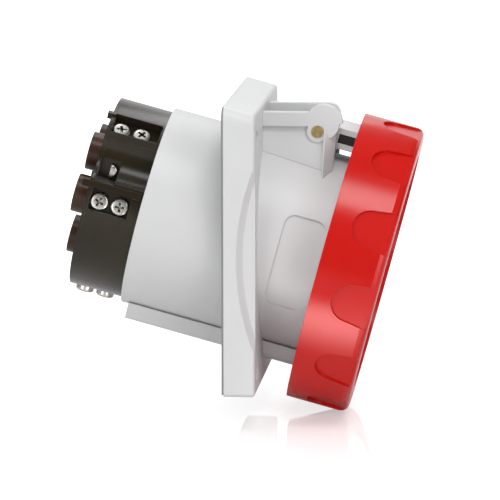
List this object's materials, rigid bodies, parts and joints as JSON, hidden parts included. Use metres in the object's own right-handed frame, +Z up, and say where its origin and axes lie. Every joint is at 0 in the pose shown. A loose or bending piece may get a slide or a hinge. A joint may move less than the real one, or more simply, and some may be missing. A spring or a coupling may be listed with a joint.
{
  "type": "industrial panel socket",
  "caption": "Angled round panel socket for heavy current, with a square flange, hinged sealing lid, red bayonet locking ring, pin sleeves behind the lid and screw terminals at the back.",
  "frame": {"origin": "centre of the four fixing holes, on the back face of the flange", "axes": "+Z up, +Y out of the flange's back into the enclosure; the lid faces -Y, leaning 15 degrees down; +X to the right seen from the front"},
  "size_m": [0.115, 0.1405, 0.1253],
  "materials": {
    "housing_grey": "light grey moulded plastic, slight sheen",
    "gasket_grey": "thin grey sealing sheet",
    "core_grey": "dark moulded plastic",
    "contact_brass": "bare brass",
    "block_brown": "dark brown moulded plastic, slight sheen",
    "screw_steel": "plated steel",
    "seal_black": "black rubber",
    "ring_red": "signal red moulded plastic"
  },
  "bodies": {
    "socket": {"flange": "housing_grey", "barrel_front": "housing_grey", "barrel_rear": "housing_grey", "hinge_cheeks": "housing_grey", "bayonet_cams": "housing_grey", "panel_gasket": "gasket_grey", "contact_core": "core_grey", "contact_pilot": "contact_brass", "terminal_block": "block_brown", "entry_cover": "block_brown", "wire_collars": "block_brown", "terminal_screws": "screw_steel", "test_clips": "screw_steel", "shroud_seal": "seal_black", "hinge_pin": "contact_brass", "hinge_spring": "screw_steel", "contact_l1": "contact_brass", "contact_l2": "contact_brass", "contact_l3": "contact_brass", "contact_n": "contact_brass", "contact_earth": "contact_brass"},
    "lid": {"lid": "housing_grey", "lid_seal": "seal_black", "hinge_buffer": "seal_black"},
    "ring": {"bayonet_ring": "ring_red", "ring_lip": "ring_red", "ring_lugs": "ring_red", "ring_snaps": "ring_red"}
  },
  "joints": [
    {"name": "lid_hinge", "type": "hinge", "parent": "socket", "child": "lid", "pos_m": [0, -0.0333, 0.045], "axis": [-1, 0, 0], "range_deg": [0, 100], "stiffness_Nm_per_rad": 0.05},
    {"name": "ring_turn", "type": "hinge", "parent": "lid", "child": "ring", "pos_m": [0, -0.012, 0.0005], "axis": [0, 0.9659, 0.2588], "range_deg": [0, 30]}
  ]
}
